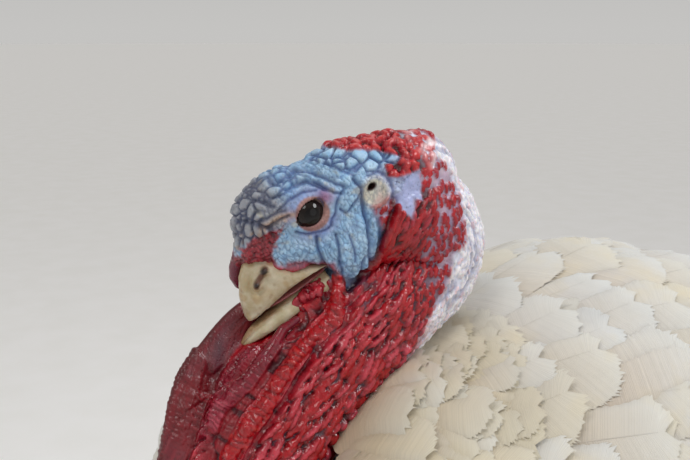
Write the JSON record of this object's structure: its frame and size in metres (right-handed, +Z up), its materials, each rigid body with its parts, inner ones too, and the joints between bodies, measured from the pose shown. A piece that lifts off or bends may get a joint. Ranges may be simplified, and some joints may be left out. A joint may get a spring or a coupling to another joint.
{
  "type": "domestic white turkey tom",
  "caption": "Life-size still model of a domestic white turkey tom, standing with its neck drawn back in an S and its beak-trimmed head level with its back, as a museum shows one.",
  "frame": {"origin": "on the floor, under the middle of the box round the whole bird", "axes": "+Z up, the bird faces -Y, its left side is +X"},
  "size_m": [0.434, 0.9328, 0.7549],
  "materials": {
    "head_skin": "bare wrinkled skin, semi-matt",
    "neck_skin": "bare skin with red caruncles, slightly glossy",
    "caruncle_skin": "swollen red caruncles, glossy",
    "dewlap_skin": "thin maroon skin, semi-matt",
    "ear_skin": "pale ear patch, matt",
    "eye_dark": "wet, clear over dark brown",
    "bill_horn": "worn horn, semi-gloss",
    "claw_horn": "worn horn, semi-gloss",
    "leg_skin": "scuted, semi-matt",
    "beard_bristles": "coarse black bristles, matt",
    "body_feathers": "white contour feathers, soft",
    "thigh_feathers": "white downy feathers, soft",
    "wing_quills": "white flight feathers, satin"
  },
  "bodies": {
    "root": {"beard": "beard_bristles", "bill_lower": "bill_horn", "bill_upper": "bill_horn", "claw_left_back": "claw_horn", "claw_left_inner": "claw_horn", "claw_left_middle": "claw_horn", "claw_left_outer": "claw_horn", "claw_right_back": "claw_horn", "claw_right_inner": "claw_horn", "claw_right_middle": "claw_horn", "claw_right_outer": "claw_horn", "dewlap": "dewlap_skin", "ear_left": "ear_skin", "ear_right": "ear_skin", "eye_left": "eye_dark", "eye_right": "eye_dark", "foot_left": "leg_skin", "foot_right": "leg_skin", "head": "head_skin", "neck_caruncles": "caruncle_skin", "neck_lower": "neck_skin", "neck_middle": "neck_skin", "neck_upper": "neck_skin", "shank_left": "leg_skin", "shank_right": "leg_skin", "snood": "dewlap_skin", "spur_left": "claw_horn", "spur_right": "claw_horn", "tail": "wing_quills", "thigh_left": "thigh_feathers", "thigh_right": "thigh_feathers", "trunk": "body_feathers", "wing_left": "wing_quills", "wing_right": "wing_quills", "wing_tip_left": "wing_quills", "wing_tip_right": "wing_quills"}
  },
  "joints": []
}
